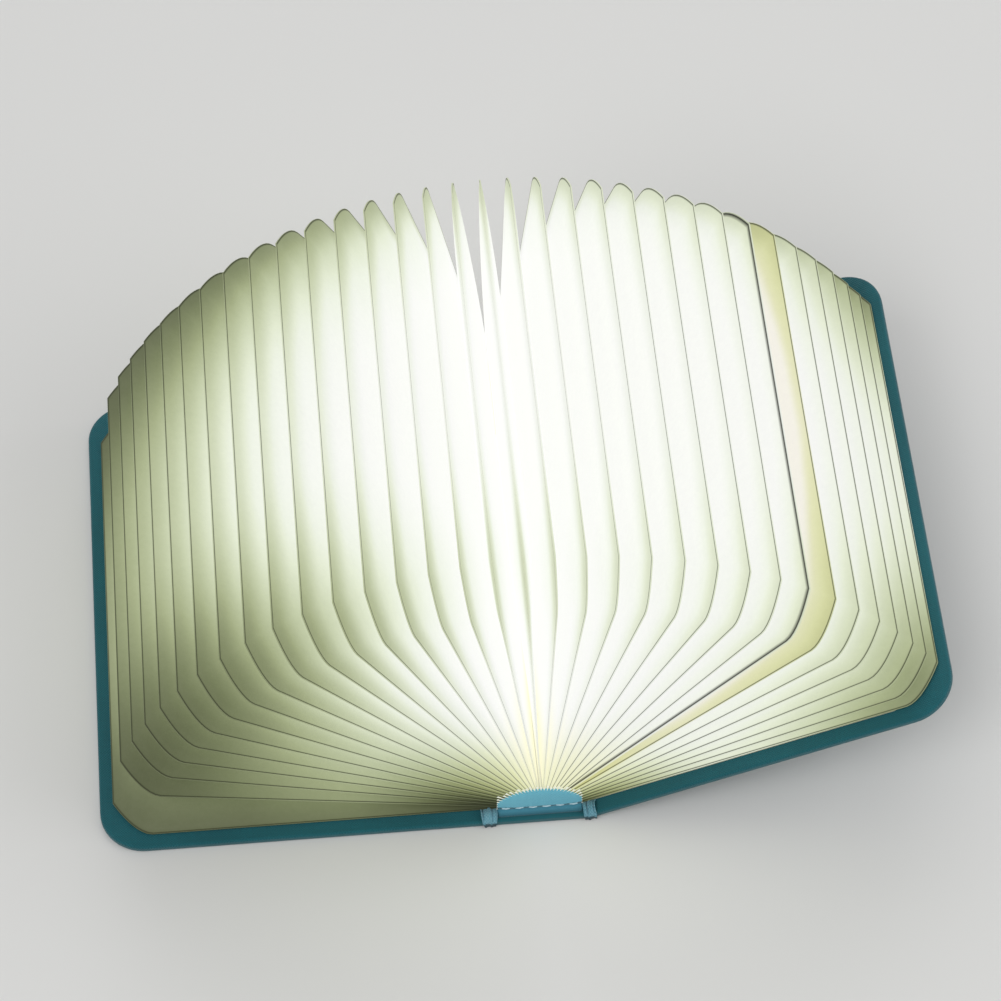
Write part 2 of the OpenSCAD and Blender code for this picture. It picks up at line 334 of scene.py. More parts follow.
def add_camera():
    back = Vector((math.sin(CAMERA_ROUND) * math.cos(CAMERA_HIGH),
                   -math.cos(CAMERA_ROUND) * math.cos(CAMERA_HIGH),
                   math.sin(CAMERA_HIGH)))
    right = (-back).cross(Vector((0, 0, 1))).normalized()
    up = right.cross(-back)
    side = right * math.cos(CAMERA_ROLL) + up * math.sin(CAMERA_ROLL)
    top = -right * math.sin(CAMERA_ROLL) + up * math.cos(CAMERA_ROLL)
    lens = bpy.data.cameras.new("camera")
    lens.sensor_width = SENSOR_W
    lens.lens = FOCAL_PIXELS / PICTURE_W * SENSOR_W
    lens.clip_start, lens.clip_end = 0.05, 50
    camera = bpy.data.objects.new("camera", lens)
    turned = Matrix((side, top, back)).transposed().to_4x4()
    camera.matrix_world = Matrix.Translation(AIM + back * CAMERA_AWAY) @ turned
    bpy.context.scene.collection.objects.link(camera)
    bpy.context.scene.camera = camera
    bpy.context.scene.view_settings.view_transform = "Standard"


def add_floor():
    floor = begin("floor", bpy.ops.mesh.primitive_plane_add, size=6)
    wear(floor, Finish("floor_paint", (0.70, 0.70, 0.69), 0.9).material)


def add_lights():
    world = bpy.data.worlds.new("studio")
    bpy.context.scene.world = world
    world.use_nodes = True
    world.node_tree.nodes["Background"].inputs["Color"].default_value = (1, 1, 1, 1)
    world.node_tree.nodes["Background"].inputs["Strength"].default_value = 0.50
    for name, spot, size, power in LIGHTS:
        light = bpy.data.lights.new(name, "AREA")
        light.size, light.energy = size, power
        lamp = bpy.data.objects.new(name, light)
        lamp.location = spot
        lamp.rotation_euler = (Vector(spot) * -1).to_track_quat("-Z", "Y").to_euler()
        bpy.context.scene.collection.objects.link(lamp)


# -------------------- materials
def toned(colour, by, lift=0):
    """The colour made darker or lighter."""
    return tuple(min(1, c * by + lift) for c in colour)


class Finish:
    """A material with its own small set of nodes."""

    def __init__(self, name, colour, roughness, **sockets):
        self.material = bpy.data.materials.new(name)
        self.material.use_nodes = True
        self.tree = self.material.node_tree
        self.surface = self.tree.nodes["Principled BSDF"]
        self.surface.inputs["Base Color"].default_value = (*colour, 1)
        self.surface.inputs["Roughness"].default_value = roughness
        for key, value in sockets.items():
            self.surface.inputs[key.replace("_", " ")].default_value = value

    def node(self, kind, **settings):
        made = self.tree.nodes.new("ShaderNode" + kind)
        for key, value in settings.items():
            setattr(made, key, value)
        return made

    def link(self, output, socket):
        self.tree.links.new(output, socket)

    def math(self, operation, a, b=None, c=None, clamp=False):
        made = self.node("Math", operation=operation, use_clamp=clamp)
        for socket, value in zip(made.inputs, (a, b, c)):
            if value is None:
                continue
            if isinstance(value, (int, float)):
                socket.default_value = value
            else:
                self.link(value, socket)
        return made.outputs[0]

    def product(self, first, *others):
        for other in others:
            first = self.math("MULTIPLY", first, other)
        return first

    def axes(self, where=None):
        """X, Y and Z of object coordinates, or of another place, each by itself."""
        split = self.node("SeparateXYZ")
        self.link(self.place() if where is None else where, split.inputs[0])
        return split.outputs

    def place(self, scale=(1, 1, 1), rotation=(0, 0, 0)):
        """Object coordinates, turned and scaled."""
        return self.stretched(self.node("TexCoord").outputs["Object"], scale, rotation)

    def stretched(self, where, scale=(1, 1, 1), rotation=(0, 0, 0)):
        mapping = self.node("Mapping")
        self.link(where, mapping.inputs["Vector"])
        mapping.inputs["Rotation"].default_value = rotation
        mapping.inputs["Scale"].default_value = scale
        return mapping.outputs[0]

    def noise(self, where, scale, detail=4, roughness=0.6):
        made = self.node("TexNoise")
        self.link(where, made.inputs["Vector"])
        made.inputs["Scale"].default_value = scale
        made.inputs["Detail"].default_value = detail
        made.inputs["Roughness"].default_value = roughness
        return made.outputs["Fac"]

    def ramp(self, value, *stops):
        """Colours through the stops, each (where, colour)."""
        made = self.node("ValToRGB")
        self.link(value, made.inputs["Fac"])
        while len(made.color_ramp.elements) < len(stops):
            made.color_ramp.elements.new(0.5)
        for element, (at, colour) in zip(made.color_ramp.elements, stops):
            element.position = at
            element.color = (*colour, 1)
        return made.outputs["Color"]

    def mix(self, factor, a, b, blend="MIX"):
        made = self.node("Mix", data_type="RGBA", blend_type=blend)
        for socket, value in ((made.inputs[0], factor), (made.inputs[6], a), (made.inputs[7], b)):
            if isinstance(value, (int, float)):
                socket.default_value = value
            elif isinstance(value, tuple):
                socket.default_value = (*value, 1)
            else:
                self.link(value, socket)
        return made.outputs[2]

    def ease(self, value, low, high, to_low=0.0, to_high=1.0):
        return self.range(value, low, high, to_low, to_high, "SMOOTHSTEP")

    def range(self, value, low, high, to_low=0.0, to_high=1.0, kind="LINEAR"):
        made = self.node("MapRange", interpolation_type=kind)
        self.link(value, made.inputs["Value"])
        for key, number in (("From Min", low), ("From Max", high), ("To Min", to_low), ("To Max", to_high)):
            made.inputs[key].default_value = number
        return made.outputs[0]

    def level(self, value, *stops):
        """A curve through the stops, each (where, how much)."""
        return self.ramp(value, *((at, (grey, grey, grey)) for at, grey in stops))

    def bump(self, height, distance, strength=1.0):
        made = self.node("Bump")
        made.inputs["Distance"].default_value = distance
        made.inputs["Strength"].default_value = strength
        self.link(height, made.inputs["Height"])
        self.link(made.outputs[0], self.surface.inputs["Normal"])

    def colour(self, output):
        self.link(output, self.surface.inputs["Base Color"])

    def roughness(self, output):
        self.link(output, self.surface.inputs["Roughness"])

    def shine(self, output, strength=1.0):
        self.link(output, self.surface.inputs["Emission Color"])
        self.surface.inputs["Emission Strength"].default_value = strength


# the glow's angles are half turns about the light bar, from 0 on the right side of the table to 1 on the left
LIGHT_BAR_Z = 2 * MM
BEAM = ((0.0, 0.55), (0.1, 0.7), (0.2, 0.95), (0.3, 1.0), (0.55, 1.0), (0.7, 0.65), (0.8, 0.4), (0.95, 0.15),
        (1.0, 0.05))
CORNER_LOSS = ((0.0, 0.9), (0.1, 1.0), (0.2, 0.6), (0.3, 0.45), (0.4, 0.45), (0.8, 1.0))
SPINE_SHADOW = ((0.0, 1.0), (0.13, 0.6), (0.2, 0.35), (0.3, 0.1), (0.5, 0.0), (0.59, 0.1), (0.71, 0.32),
                (0.815, 0.55), (0.865, 0.8), (0.93, 1.0))
# the least light in a corner, and how softly it gets there
CORNER_LEAST, CORNER_SOFTNESS = 0.08, 0.5
# the light's colour at each strength, from green in the dim corners to bluish white
SHINE = ((0.0, (0.0, 0.0, 0.0)), (0.0625, (0.088, 0.10, 0.054)), (0.156, (0.202, 0.22, 0.138)),
         (0.3125, (0.382, 0.405, 0.318)), (0.5, (0.550, 0.565, 0.52)), (0.625, (0.615, 0.618, 0.635)),
         (0.8125, (0.655, 0.642, 0.705)), (1.0, (0.680, 0.655, 0.745)))
ROOT_WARMTH = (1.0, 0.97, 0.70)
# how much of each colour is left in the paper's base colour where painted shade darkens it most
PAINTED_SHADE_PAPER = (0.10, 0.10, 0.06)


def paper_glow(f, depth):
    """How strongly the paper glows, from 0 to 1, and how far each point is from the light bar."""
    x, y, z = f.axes()
    rise = f.math("SUBTRACT", z, LIGHT_BAR_Z)
    reach = f.math("SQRT", f.math("MULTIPLY_ADD", x, x, f.product(rise, rise)))
    angle = f.math("DIVIDE", f.math("ARCTAN2", rise, x), math.pi)
    # the lowest left leaves are lit a little at their fore edges
    fore_edge = f.ease(reach, 62 * MM, 90 * MM, 0.0, 0.12)
    beam = f.math("MULTIPLY_ADD", f.range(angle, 0.955, 0.985), fore_edge, f.level(angle, *BEAM))
    # less light reaches the corners, most of all on the left side
    ends = f.ease(f.math("ABSOLUTE", f.math("SUBTRACT", y, 1 * MM)), 4 * MM, 60 * MM)
    ends = f.math("ADD", ends, f.ease(y, 38 * MM, 58 * MM, 0.0, 0.10))
    far = f.ease(reach, 38 * MM, 92 * MM)
    corner = f.math("SUBTRACT", 1.0, f.product(f.level(angle, *CORNER_LOSS), ends, far))
    corner = f.math("SMOOTH_MAX", corner, CORNER_LEAST, CORNER_SOFTNESS)
    # and less close to the roots, where the spine hides the light bar
    near = f.ease(reach, 10 * MM, 46 * MM, 1.0, 0.0)
    hidden = f.product(f.level(angle, *SPINE_SHADOW), near)
    inside = f.ease(depth, 0.3, 6.5, 0.72, 1.32)
    cloudy = f.range(f.noise(f.place(), 45, 3), 0.3, 0.7, 0.97, 1.03)
    glow = f.product(beam, corner, f.math("SUBTRACT", 1.0, hidden), inside)
    return f.math("MULTIPLY", glow, cloudy, clamp=True), reach


def paper(name, pale, shade, band, dark, tint=None):
    """Leaf paper lit from within, cream where it is dim and white where the light bar is near.

    band is the width in millimetres of the dark strip along the leaf's edge: partly the bonded sheets, partly
    painted shade in the crease at the ridge."""
    f = Finish(name, pale, 0.62, Specular_IOR_Level=0.3)
    depth = f.node("Attribute", attribute_name="depth").outputs["Fac"]
    fibre = f.noise(f.place(), 700, 6, 0.7)
    glow, reach = paper_glow(f, depth)
    # painted shade: the dark line along each leaf's edge darkens both the glow and the base colour, as shade
    # in the crease where the sheets are bonded
    line = f.product(f.range(depth, band * 0.35, band, 1.0, 0.0), f.range(depth, 0.0, band * 0.3))
    shine = f.ramp(glow, *SHINE)
    # yellower down at the roots, where it has passed through more paper
    near_root = f.ease(reach, 8 * MM, 36 * MM, 1.0, 0.0)
    shine = f.mix(near_root, shine, f.mix(1.0, shine, ROOT_WARMTH, "MULTIPLY"))
    if tint:
        tinted = f.ease(glow, 0.62, 0.95, 1.0, 0.2)
        shine = f.mix(tinted, shine, f.mix(1.0, shine, tint, "MULTIPLY"))
    f.shine(f.mix(line, shine, toned(dark, 0.3)))
    # painted shade: the paper's base colour is darkened where its glow is weak, down at the covers and out at
    # the corners, and near each leaf's edge
    dim = f.product(f.range(glow, 0.0, 0.18, 0.38, 1.0), f.range(depth, 0.0, 6.0, 0.86, 1.0))
    body = f.mix(f.range(fibre, 0.3, 0.7), shade, pale)
    body = f.mix(dim, tuple(c * k for c, k in zip(pale, PAINTED_SHADE_PAPER)), body)
    f.colour(f.mix(line, body, dark))
    f.bump(fibre, 0.00004)
    return f.material


def threads(f, pitch):
    """Plain weave on the piece's own map: how high the threads stand, and how uneven they are."""
    where = f.node("UVMap").outputs[0]
    wander = f.noise(f.stretched(where), 110, 2)
    x, y, _ = f.axes(where)
    shift = f.math("MULTIPLY", wander, 6.0)
    turns = 2 * math.pi / pitch
    across = f.math("SINE", f.math("MULTIPLY_ADD", x, turns, shift))
    along = f.math("SINE", f.math("MULTIPLY_ADD", y, turns, shift))
    weave = f.math("MULTIPLY_ADD", f.product(across, along), 0.5, 0.5)
    warp = f.noise(f.stretched(where, (1.0, 0.05, 1.0)), 1.1 / pitch, 2)
    weft = f.noise(f.stretched(where, (0.05, 1.0, 1.0)), 1.1 / pitch, 2)
    return weave, f.math("MULTIPLY", f.math("ADD", warp, weft), 0.5)


def bookcloth(name, colour, pale, deep, pitch=0.00062, relief=0.00010, foot=None, sewn=True):
    """Woven bookcloth with slubs, a soft sheen, and threads rubbed pale.

    foot is the height of a seam. Below it the cloth is darkened with painted shade, and darker still out at
    the case's ends, on the rolled edges and end faces that turn away from the light."""
    f = Finish(name, colour, 0.82, Sheen_Weight=0.22, Sheen_Roughness=0.5, Specular_IOR_Level=0.22)
    weave, slub = threads(f, pitch)
    tone = f.math("ADD", f.math("MULTIPLY", weave, 0.45), f.math("MULTIPLY", slub, 0.55))
    cloth = f.mix(f.range(tone, 0.28, 0.72), colour, pale)
    blotch = f.noise(f.place(), 38, 4)
    cloth = f.mix(f.range(blotch, 0.35, 0.75, 0.0, 0.35), cloth, deep)
    if foot:
        # painted shade: darker below the foot, darkest out at the case's rolled ends
        _, y, z = f.axes()
        above = f.math("SUBTRACT", z, foot)
        rolled = f.range(f.math("ABSOLUTE", y), 59 * MM, 60.2 * MM)
        under = f.mix(rolled, toned(colour, 0.60), toned(colour, 0.22))
        cloth = f.mix(f.range(above, -0.1 * MM, 0.4 * MM), under, cloth)
        if sewn:
            seam = f.range(f.math("ABSOLUTE", above), 0.12 * MM, 0.28 * MM, 0.85, 0.0)
            cloth = f.mix(seam, cloth, toned(colour, 0.12))
    fibres = f.noise(f.place(), 5200, 2, 0.8)
    f.colour(f.mix(f.range(fibres, 0.62, 0.8, 0.0, 0.35), cloth, toned(pale, 1.9, 0.03)))
    f.bump(f.math("ADD", weave, f.math("MULTIPLY", slub, 0.7)), relief)
    f.roughness(f.range(slub, 0.3, 0.7, 0.74, 0.92))
    return f.material


def moulded(name, colour, roughness, grain=0.00003, scale=1500, dust=0.14, **sockets):
    """Moulded or painted finish with a fine grain and faint unevenness."""
    f = Finish(name, colour, roughness, **sockets)
    fine = f.noise(f.place(), scale, 3)
    broad = f.noise(f.place(), 80, 4)
    f.colour(f.mix(f.range(broad, 0.3, 0.75), colour, toned(colour, 1 - dust)))
    f.roughness(f.range(fine, 0.3, 0.7, roughness - 0.06, roughness + 0.08))
    f.bump(fine, grain)
    return f.material


def fibre_board(name, colour, dark):
    """Grey board pressed from pulp: specks, short fibres and faint layers on its cut edges."""
    f = Finish(name, colour, 0.9, Specular_IOR_Level=0.2)
    pulp = f.noise(f.place(), 900, 5, 0.75)
    fibres = f.noise(f.place(scale=(1.0, 0.12, 1.0)), 1500, 3)
    layers = f.noise(f.place(scale=(0.15, 0.15, 1.0)), 5000, 2)
    tone = f.mix(f.range(pulp, 0.3, 0.7), dark, colour)
    tone = f.mix(f.range(fibres, 0.6, 0.75, 0.0, 0.5), tone, toned(colour, 1.35))
    f.colour(f.mix(f.range(layers, 0.55, 0.7, 0.0, 0.3), tone, dark))
    f.bump(f.math("ADD", pulp, fibres), 0.00006)
    return f.material


LAID_PITCH = 1.1 * MM


def endpaper(name, colour, line):
    """Uncoated endpaper with close laid lines and soft fibres."""
    f = Finish(name, colour, 0.8, Specular_IOR_Level=0.25)
    _, y, _ = f.axes()
    laid = f.math("SINE", f.math("MULTIPLY", y, 2 * math.pi / LAID_PITCH))
    fibre = f.noise(f.place(), 800, 6, 0.7)
    f.colour(f.mix(f.math("MULTIPLY_ADD", laid, 0.18, f.range(fibre, 0.35, 0.7, 0.1, 0.8)), line, colour))
    f.bump(f.math("MULTIPLY_ADD", laid, 0.3, fibre), 0.00004)
    return f.material


def brushed(name, colour, roughness, along, grain=2600):
    """Drawn or brushed metal: fine lines along one axis, and small stains."""
    f = Finish(name, colour, roughness, Metallic=1.0)
    squeeze = [1.0, 1.0, 1.0]
    squeeze[along] = 0.03
    lines = f.noise(f.place(scale=tuple(squeeze)), grain, 3)
    stain = f.noise(f.place(), 260, 4)
    f.colour(f.mix(f.range(stain, 0.45, 0.75, 0.0, 0.6), colour, toned(colour, 0.72)))
    f.roughness(f.range(lines, 0.3, 0.7, roughness - 0.08, roughness + 0.14))
    f.bump(lines, 0.00002)
    return f.material


TAPE_FROM, TAPE_YELLOW = 19.5 * MM, (0.55, 0.33, 0.03)


def foil_cell(name, colour):
    """Pouch cell's foil: soft crinkles and a yellow insulating tape across its head end."""
    f = Finish(name, colour, 0.38, Metallic=0.85)
    crinkle = f.node("TexVoronoi", feature="DISTANCE_TO_EDGE")
    f.link(f.place(scale=(1.0, 0.5, 1.0)), crinkle.inputs["Vector"])
    crinkle.inputs["Scale"].default_value = 320
    soft = f.noise(f.place(), 150, 3)
    _, y, _ = f.axes()
    tape = f.range(y, TAPE_FROM, TAPE_FROM + 0.2 * MM)
    f.colour(f.mix(tape, f.mix(f.range(soft, 0.3, 0.7), colour, toned(colour, 0.8)), TAPE_YELLOW))
    f.link(f.math("MULTIPLY_ADD", tape, -0.85, 0.85), f.surface.inputs["Metallic"])
    f.bump(f.math("ADD", crinkle.outputs["Distance"], soft), 0.0001, 0.6)
    return f.material


def circuit(name, mask, copper, pitch):
    """Circuit board: solder mask over faint tracks, with bare pads in a row."""
    f = Finish(name, mask, 0.35, Coat_Weight=0.3, Coat_Roughness=0.2)
    tracks = f.node("TexBrick", offset=0.5, squash=1.0)
    f.link(f.place(rotation=(0, 0, math.pi / 2)), tracks.inputs["Vector"])
    for key, value in (("Scale", 1.0), ("Mortar Size", pitch * 0.09), ("Mortar Smooth", 0.2),
                       ("Brick Width", pitch * 3.1), ("Row Height", pitch)):
        tracks.inputs[key].default_value = value
    pads = f.node("TexVoronoi", feature="F1", distance="CHEBYCHEV")
    f.link(f.place(), pads.inputs["Vector"])
    pads.inputs["Scale"].default_value = 1 / (pitch * 2.4)
    pads.inputs["Randomness"].default_value = 0.35
    pad = f.range(pads.outputs["Distance"], 0.14, 0.17, 1.0, 0.0)
    tone = f.mix(f.math("MULTIPLY", tracks.outputs["Fac"], 0.45), mask, toned(mask, 1.6, 0.02))
    f.colour(f.mix(pad, tone, copper))
    f.roughness(f.range(pad, 0.0, 1.0, 0.38, 0.24))
    f.bump(f.math("ADD", tracks.outputs["Fac"], pad), 0.00004)
    return f.material


def lit(name, colour, glow, strength, roughness, grain, **sockets):
    """Milky or phosphor plastic that shines by itself, a little unevenly; also used for the root folds'
    paper, whose shine is painted light.
    """
    f = Finish(name, colour, roughness, **sockets)
    cloudy = f.noise(f.place(), 120, 3)
    fine = f.noise(f.place(), 1800, 2)
    uneven = f.range(cloudy, 0.3, 0.7)
    f.colour(f.mix(uneven, colour, toned(colour, 0.93)))
    f.shine(f.mix(uneven, glow, toned(glow, 0.88)), strength)
    f.roughness(f.range(fine, 0.3, 0.7, roughness - 0.05, roughness + 0.08))
    f.bump(fine, grain)
    return f.material


def make_finishes():
    # edge is the colour of that dark line along each leaf's edge: partly bonded sheets, partly painted crease
    # shade
    pale, shade, edge = (0.285, 0.320, 0.180), (0.248, 0.284, 0.150), (0.035, 0.04, 0.02)
    return {
        "paper": paper("leaf_paper", pale, shade, 0.42, edge),
        "seam_paper": paper("seam_paper", pale, shade, 1.0, (0.006, 0.007, 0.004)),
        "tan_paper": paper("tan_paper", (0.30, 0.29, 0.13), (0.27, 0.26, 0.11), 0.42, edge,
                           tint=(0.80, 0.82, 0.56)),
        "cover_cloth": bookcloth("cover_cloth", (0.006, 0.085, 0.105), (0.012, 0.135, 0.162),
                                 (0.003, 0.050, 0.063)),
        # tab and gather cloth get painted shade below their foot height, on the feet and the rolled ends
        "tab_cloth": bookcloth("tab_cloth", (0.115, 0.45, 0.60), (0.20, 0.60, 0.74), (0.07, 0.34, 0.47),
                               pitch=0.0007, foot=SEAM_Z),
        "gather_cloth": bookcloth("gather_cloth", (0.07, 0.25, 0.33), (0.24, 0.46, 0.55), (0.02, 0.13, 0.18),
                                  pitch=0.0007, foot=1.4 * MM, sewn=False),
        "thread": moulded("stitch_thread", (0.52, 0.72, 0.78), 0.6, grain=0.00008, scale=3000,
                          Sheen_Weight=0.3),
        "grey_board": fibre_board("grey_board", (0.34, 0.31, 0.26), (0.20, 0.18, 0.15)),
        "endpaper": endpaper("endpaper", (0.62, 0.62, 0.50), (0.50, 0.50, 0.38)),
        "tray_plastic": moulded("tray_plastic", (0.74, 0.75, 0.72), 0.42),
        "black_plastic": moulded("black_plastic", (0.02, 0.02, 0.022), 0.45),
        "wire": moulded("lead_wire", (0.42, 0.02, 0.015), 0.38, scale=2500),
        "steel": brushed("pressed_steel", (0.56, 0.56, 0.55), 0.3, Y),
        "screw_steel": brushed("screw_steel", (0.60, 0.59, 0.57), 0.28, X, 4000),
        "nickel": brushed("nickel_plate", (0.66, 0.63, 0.58), 0.2, X, 1200),
        "battery": foil_cell("battery_foil", (0.62, 0.63, 0.65)),
        "led_board": circuit("led_board_mask", (0.74, 0.75, 0.72), (0.75, 0.60, 0.35), 0.0016),
        "charge_board": circuit("charge_board_mask", (0.012, 0.13, 0.045), (0.72, 0.50, 0.20), 0.0011),
        "led_chips": lit("phosphor", (0.75, 0.62, 0.12), (1.0, 0.93, 0.72), 1.0, 0.3, 0.00001),
        "diffuser": lit("milky_plastic", (0.80, 0.80, 0.76), (1.0, 0.98, 0.90), 0.6, 0.4, 0.00001,
                        Subsurface_Weight=0.2, Subsurface_Scale=0.002),
        # the root folds' paper shines with painted light, as if lit by the light bar behind it
        "root_paper": lit("root_paper", (0.50, 0.53, 0.44), (0.50, 0.51, 0.46), 0.9, 0.6, 0.00003),
        "indicator": lit("indicator_lens", (0.45, 0.02, 0.01), (1.0, 0.08, 0.03), 0.35, 0.18, 0.000005,
                         Coat_Weight=0.5),
    }


# -------------------- leaves
# depths in millimetres of a sheet's loops, closest together where it bends most
DEPTHS = (0, 0.4, 0.9, 2, 4, 7, 10.5, 14, 17.5, 21, 25, 27.2)


def opening(depth):
    """How far a sheet has spread towards its valley at a depth in millimetres, from 0 at the edge to 1."""
    if depth <= DEPTHS[1]:
        return 0.0
    return min(1.0, ((depth - DEPTHS[1]) / (POCKET_D / MM - DEPTHS[1])) ** 0.82)


def round_corners(pattern):
    """Makes each corner meet the fore edge in a blunt angle and run smoothly into the tail or head edge."""
    columns = {round(abs(v.co.x), 7) for v in bmesh.from_edit_mesh(pattern.data).verts}
    for column in sorted(columns):
        t = min(1.0, (PATTERN_L - column) / LEAF_CORNER)
        for end in (-1, 1):
            pick(pattern, "verts", lambda v: abs(abs(v.co.x) - column) < 0.1 * NEAR and v.co.y * end > 0)
            now = abs(middle_of_picked(pattern).y)
            move(y=end * (LEAF_H / 2 - LEAF_CORNER * (1 - t) ** 1.75 - now))


def sheet_pattern():
    """One C-shaped sheet, lying flat with its root on the Y axis. Its loops follow the outline inwards."""
    pattern = begin("sheet_pattern", bpy.ops.mesh.primitive_plane_add, size=2)
    edit(pattern)
    pick_all()
    stretch(PATTERN_L, LEAF_H / 2)
    round_off("VERTICES", LEAF_CORNER, 10, profile=0.38)
    round_corners(pattern)
    pick_all()
    bpy.ops.mesh.delete(type="ONLY_FACE")
    for sideways, cuts in ((True, 15), (False, 23)):
        pick(pattern, "edges", lambda e: e.calc_length() > 20 * MM and
             (abs(e.verts[0].co.x - e.verts[1].co.x) < 0.1 * NEAR) == sideways)
        bpy.ops.mesh.subdivide(number_cuts=cuts)
    bmesh.from_edit_mesh(pattern.data).verts.layers.float.new("depth")
    pick(pattern, "edges", lambda e: True)
    for last, now in zip(DEPTHS, DEPTHS[1:]):
        bpy.ops.mesh.extrude_edges_move()
        stretch((PATTERN_L - now * MM) / (PATTERN_L - last * MM),
                (LEAF_H / 2 - now * MM) / (LEAF_H / 2 - last * MM))
        mesh = bmesh.from_edit_mesh(pattern.data)
        depth = mesh.verts.layers.float["depth"]
        for v in mesh.verts:
            if v.select:
                v[depth] = now
        bmesh.update_edit_mesh(pattern.data)
    pick_all()
    bpy.ops.mesh.bisect(plane_co=(0, 0, 0), plane_no=(1, 0, 0), clear_inner=True)
    pick_all()
    bpy.ops.mesh.remove_doubles(threshold=1e-7)
    look_towards(pattern, (0, 0, 1))
    done()
    return pattern


def spread(sheet, i, half_angle, half_root):
    """Draws the sheet out to leaf i's length, then turns each loop, and all deeper ones, about the root."""
    edit(sheet)
    pick(sheet, "verts", lambda v: v.co.x > PATTERN_L / 2)
    move(x=length_of(i) - PATTERN_L)
    for last, now in zip(DEPTHS, DEPTHS[1:]):
        step = opening(now) - opening(last)
        if step <= 0:
            continue
        mesh = bmesh.from_edit_mesh(sheet.data)
        depth = mesh.verts.layers.float["depth"]
        pick(sheet, "verts", lambda v: v[depth] > now - 0.01)
        turn(-half_angle * step, "Y", (0, 0, 0))
        move(z=half_root * step)
    done()
    finish_with(sheet, "SOLIDIFY", thickness=SHEET_T, offset=1.0)


def turned_part(wanted):
    """How far along a smooth blend, from 0 to 1, the wanted part of the turn is reached."""
    t = 0.5
    for _ in range(40):
        t -= (t * t * (3 - 2 * t) - wanted) / max(6 * t * (1 - t), 0.001)
        t = min(max(t, 0.001), 0.999)
    return t


def fold_along(leaf, i, outwards):
    """Hangs the leaf between the spine and the next leaf outwards, so that it folds flat with the fan."""
    outer = i + outwards
    ray = ray_of(i)
    out = Vector((ray.z, 0, -ray.x)) * outwards
    at = root_of(i) + ray * LEAF_MIDDLE
    own = abs(angle_of(i) - math.pi / 2)
    if not 0 <= outer < LEAF_N:
        half = abs(angle_of(i) - angle_of(i - outwards)) / 2
        valley = VALLEY_REACH * math.tan(half)
        still = math.sqrt(half / own / 3)
        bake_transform(leaf, "spine", f"leaf_{i:02d}", at - out * (valley / still), at)
        return
    # the blend turns the leaf itself by its own angle, and the valley outside it by half a gap more
    beyond = abs(angle_of(outer) - math.pi / 2)
    half = (beyond - own) / 2
    valley = VALLEY_REACH * math.tan(half)
    t = turned_part(own / beyond)
    span = 6 * t * (1 - t) * beyond * valley / half
    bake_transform(leaf, "spine", f"leaf_{outer:02d}", at - out * (t * span), at + out * ((1 - t) * span))


def leaf_sheet(pattern, i, towards, finishes):
    """The half of leaf i that faces the leaf before it or the leaf after it."""
    sheet = twin(pattern, f"sheet_{i}_{towards}")
    neighbour = i + towards
    if 0 <= neighbour < LEAF_N:
        half = abs(angle_of(i) - angle_of(neighbour)) / 2
        spread(sheet, i, half - SHEET_T / (2 * LEAF_MIDDLE), ROOT_W / (LEAF_N - 1) - SHEET_T)
    else:
        spread(sheet, i, 0, 0)
    if towards > 0:
        edit(sheet)
        pick_all()
        stretch(z=-1)
        bpy.ops.mesh.flip_normals()
        done()
    kind = "paper"
    if i == SEAM_LEAF:
        kind = "seam_paper"
    if i == SEAM_LEAF + 1 and towards < 0:
        kind = "tan_paper"
    wear(sheet, finishes[kind])
    return sheet


def leaves(finishes):
    pattern = sheet_pattern()
    for i in range(LEAF_N):
        sheets = [leaf_sheet(pattern, i, towards, finishes) for towards in (-1, 1)]
        leaf = join(sheets, f"paper_leaf_{i:02d}")
        place(leaf, Matrix.Translation(root_of(i)) @ Matrix.Rotation(-angle_of(i), 4, "Y"))
        smooth(leaf, 50)
        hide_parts(f"leaf_{i:02d}")
        fold_along(leaf, i, 1 if angle_of(i) < math.pi / 2 else -1)
    bpy.data.objects.remove(pattern)


# -------------------- case
def lay_weave(piece):
    """Gives cloth its own map, laid flat on each face, so that the weave follows the surface."""
    edit(piece, "FACE")
    pick_all()
    bpy.ops.uv.cube_project(cube_size=1.0, correct_aspect=False, clip_to_bounds=False, scale_to_bounds=False)
    done()


def raised(angle):
    """Turn that raises the right cover's side about its hinge line."""
    hinge = Vector((HINGE_X, 0, HINGE_Z))
    return Matrix.Translation(hinge) @ Matrix.Rotation(-angle, 4, "Y") @ Matrix.Translation(-hinge)


MIRRORED = Matrix.Scale(-1, 4, (1, 0, 0))


def on_both_covers(flat, name):
    """Moves a piece made for the right cover to its place, and makes its mirror image on the left cover."""
    left = twin(flat, name)
    place(flat, raised(RIGHT_RAISE))
    place(left, MIRRORED)
    outward(left)
    return (flat, "right"), (left, "left")


